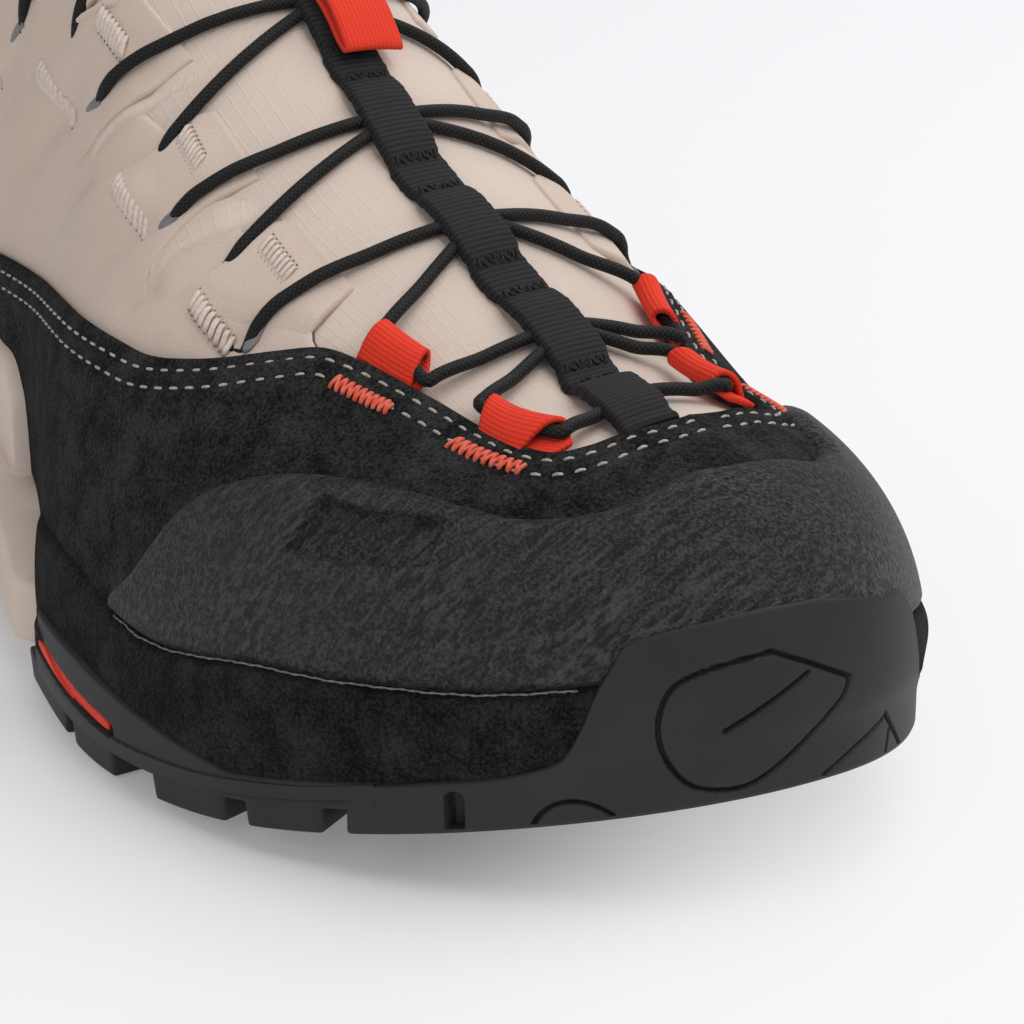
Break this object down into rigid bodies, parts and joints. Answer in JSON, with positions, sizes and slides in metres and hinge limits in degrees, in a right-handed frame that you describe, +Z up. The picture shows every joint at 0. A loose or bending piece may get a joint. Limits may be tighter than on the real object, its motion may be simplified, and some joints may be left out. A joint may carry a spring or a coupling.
{
  "type": "hiking shoe",
  "caption": "Low-cut right hiking shoe with a lugged sole and toe bumper, hollow upper with suede, toe cap and rand, tongue, webbing strap and laces.",
  "frame": {"origin": "On the floor under the middle of the shoe's box", "axes": "+Z up; the toe points to -Y and the heel to +Y; the outer (lateral) side of this right shoe faces -X, the inner side +X"},
  "size_m": [0.11, 0.3006, 0.1379],
  "materials": {
    "outsole": "matte moulded rubber",
    "midsole": "matte foam",
    "insole": "matte textile",
    "upper": "matte textile",
    "vamp_suede": "suede nap",
    "toe_cap": "brushed matte rubber",
    "rand": "suede nap",
    "loop": "woven webbing",
    "finger": "soft film",
    "tongue": "ripstop weave",
    "strap": "woven webbing",
    "pull_tab": "woven webbing",
    "lace": "braided cord"
  },
  "bodies": {
    "root": {"outsole": "outsole", "midsole": "midsole", "insole": "insole", "upper": "upper", "vamp_suede": "vamp_suede", "toe_cap": "toe_cap", "rand": "rand", "loop_lateral_1": "loop", "loop_medial_1": "loop", "loop_lateral_2": "loop", "loop_medial_2": "loop", "finger_lateral_1": "finger", "finger_medial_1": "finger", "finger_lateral_2": "finger", "finger_medial_2": "finger", "finger_lateral_3": "finger", "finger_medial_3": "finger", "finger_lateral_4": "finger", "finger_medial_4": "finger", "tongue": "tongue", "strap": "strap", "pull_tab": "pull_tab", "lace_bar": "lace", "lace_crossing_1": "lace", "lace_crossing_2": "lace", "lace_crossing_3": "lace", "lace_crossing_4": "lace", "lace_crossing_5": "lace"}
  },
  "joints": []
}
